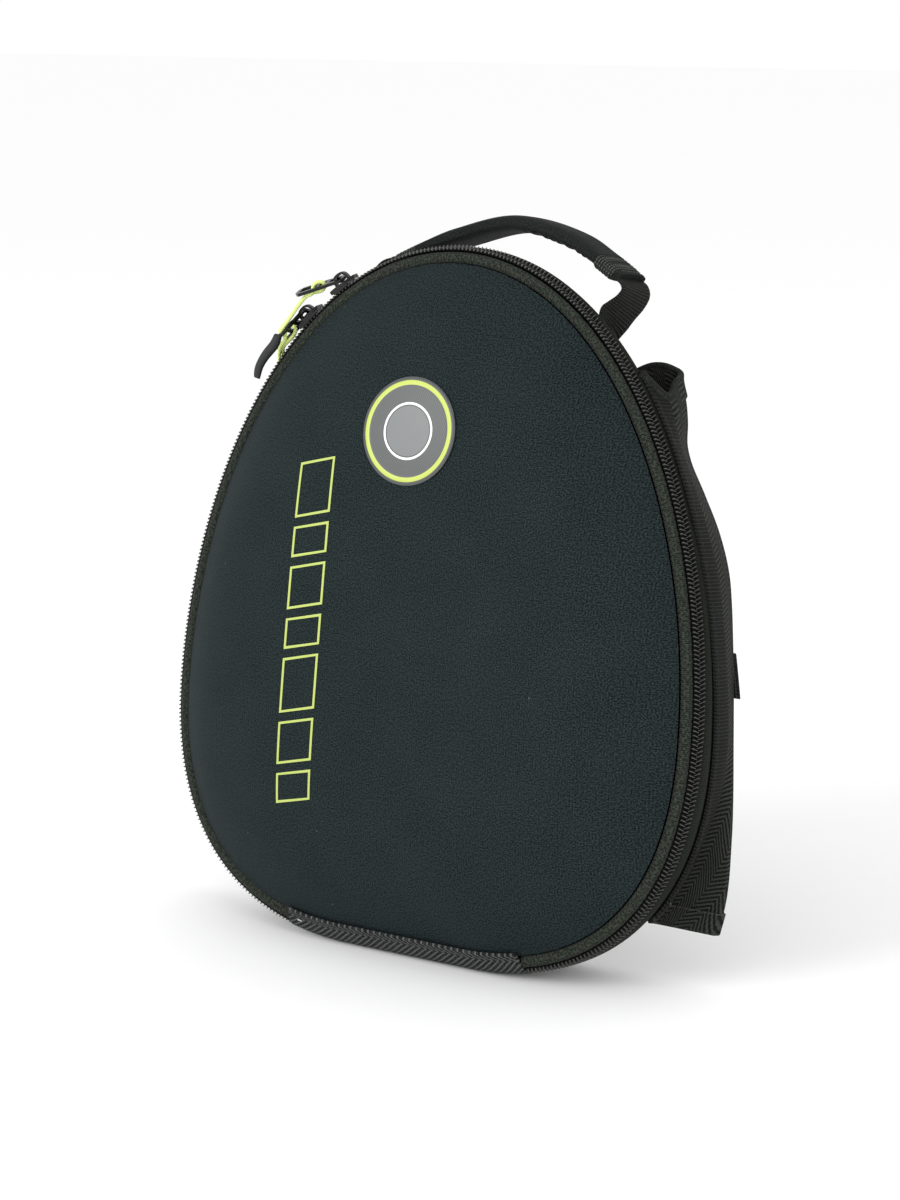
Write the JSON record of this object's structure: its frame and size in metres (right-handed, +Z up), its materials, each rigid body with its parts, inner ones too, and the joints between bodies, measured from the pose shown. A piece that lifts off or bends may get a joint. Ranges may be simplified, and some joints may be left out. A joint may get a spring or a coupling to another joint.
{
  "type": "motorcycle tank bag",
  "caption": "Egg-shaped moulded tank bag with a domed lid, zip all round on a webbing hinge, padded carrying handle and a webbing sleeve behind, leaning back as it stands",
  "frame": {"origin": "on the floor, in the middle of the bag's width and half way between its front and its back", "axes": "+X to the bag's right as seen from its front, +Y from its front to its back, +Z up"},
  "size_m": [0.304, 0.1236, 0.3586],
  "materials": {
    "shell": "smooth knitted jersey over moulded foam, near black",
    "zip_tape": "fine woven zip tape, black",
    "zip_coil": "moulded nylon coil, black, satin",
    "webbing": "ribbed and herringbone webbing, black",
    "handle_cover": "smooth knitted cover over padding, near black",
    "slider_metal": "glossy black painted die-cast metal",
    "pull_cord": "braided cord, bright yellow-green",
    "pull_rubber": "matt moulded rubber, dark grey",
    "badge": "printed film patch, grey with a yellow-green ring"
  },
  "bodies": {
    "root": {"front_shell": "shell", "rear_shell": "shell", "zip_tape_front": "zip_tape", "zip_chain": "zip_coil", "zip_tape_rear": "zip_tape", "hinge_tape": "webbing", "back_sleeve": "webbing", "strap_tail_right": "webbing", "strap_tail_left": "webbing", "handle_grip": "handle_cover", "handle_leg_right": "webbing", "handle_leg_left": "webbing", "slider_upper": "slider_metal", "pull_tab_upper": "slider_metal", "pull_cord_upper": "pull_cord", "pull_grip_upper": "pull_rubber", "slider_lower": "slider_metal", "pull_tab_lower": "slider_metal", "pull_cord_lower": "pull_cord", "pull_grip_lower": "pull_rubber", "badge": "badge"}
  },
  "joints": []
}
